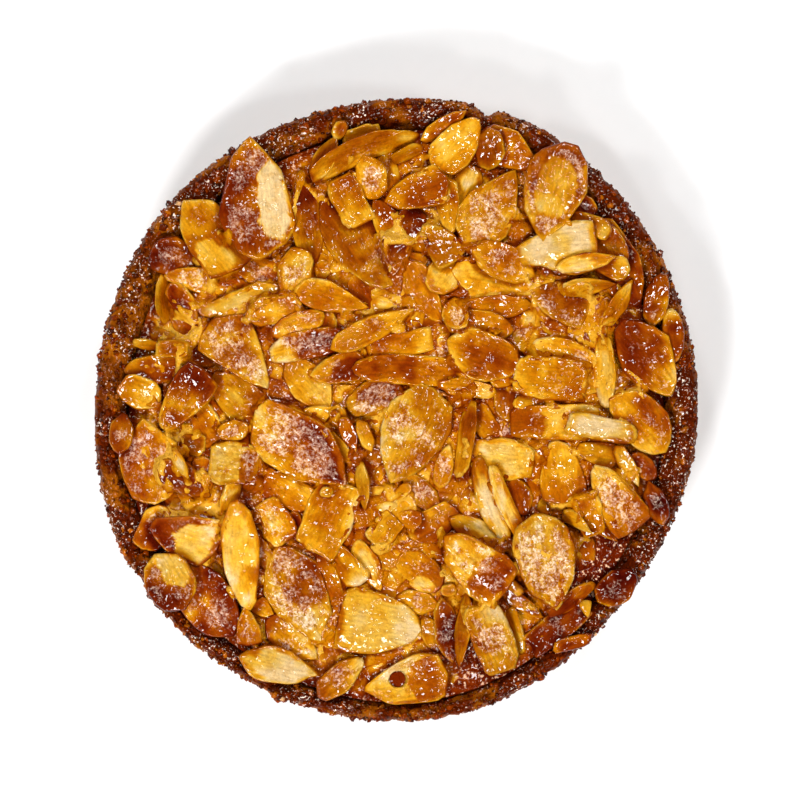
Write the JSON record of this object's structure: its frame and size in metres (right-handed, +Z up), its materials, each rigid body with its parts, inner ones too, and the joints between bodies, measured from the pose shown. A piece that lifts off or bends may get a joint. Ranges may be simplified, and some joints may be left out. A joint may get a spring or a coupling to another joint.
{
  "type": "almond tart",
  "caption": "Round tart: a rough shortcrust case filled to its rim with overlapping sliced almonds set in dark caramel.",
  "frame": {"origin": "middle of the flat base, on the surface the tart stands on", "axes": "+Z up, +Y towards the top of the tart as seen from above, +X towards its right"},
  "size_m": [0.1181, 0.1222, 0.0261],
  "materials": {
    "shortcrust": "dark baked shortcrust, granular, with melted sugar",
    "almonds_in_caramel": "sliced almonds glazed with caramel"
  },
  "bodies": {
    "root": {"crust": "shortcrust", "almond_filling": "almonds_in_caramel"}
  },
  "joints": []
}
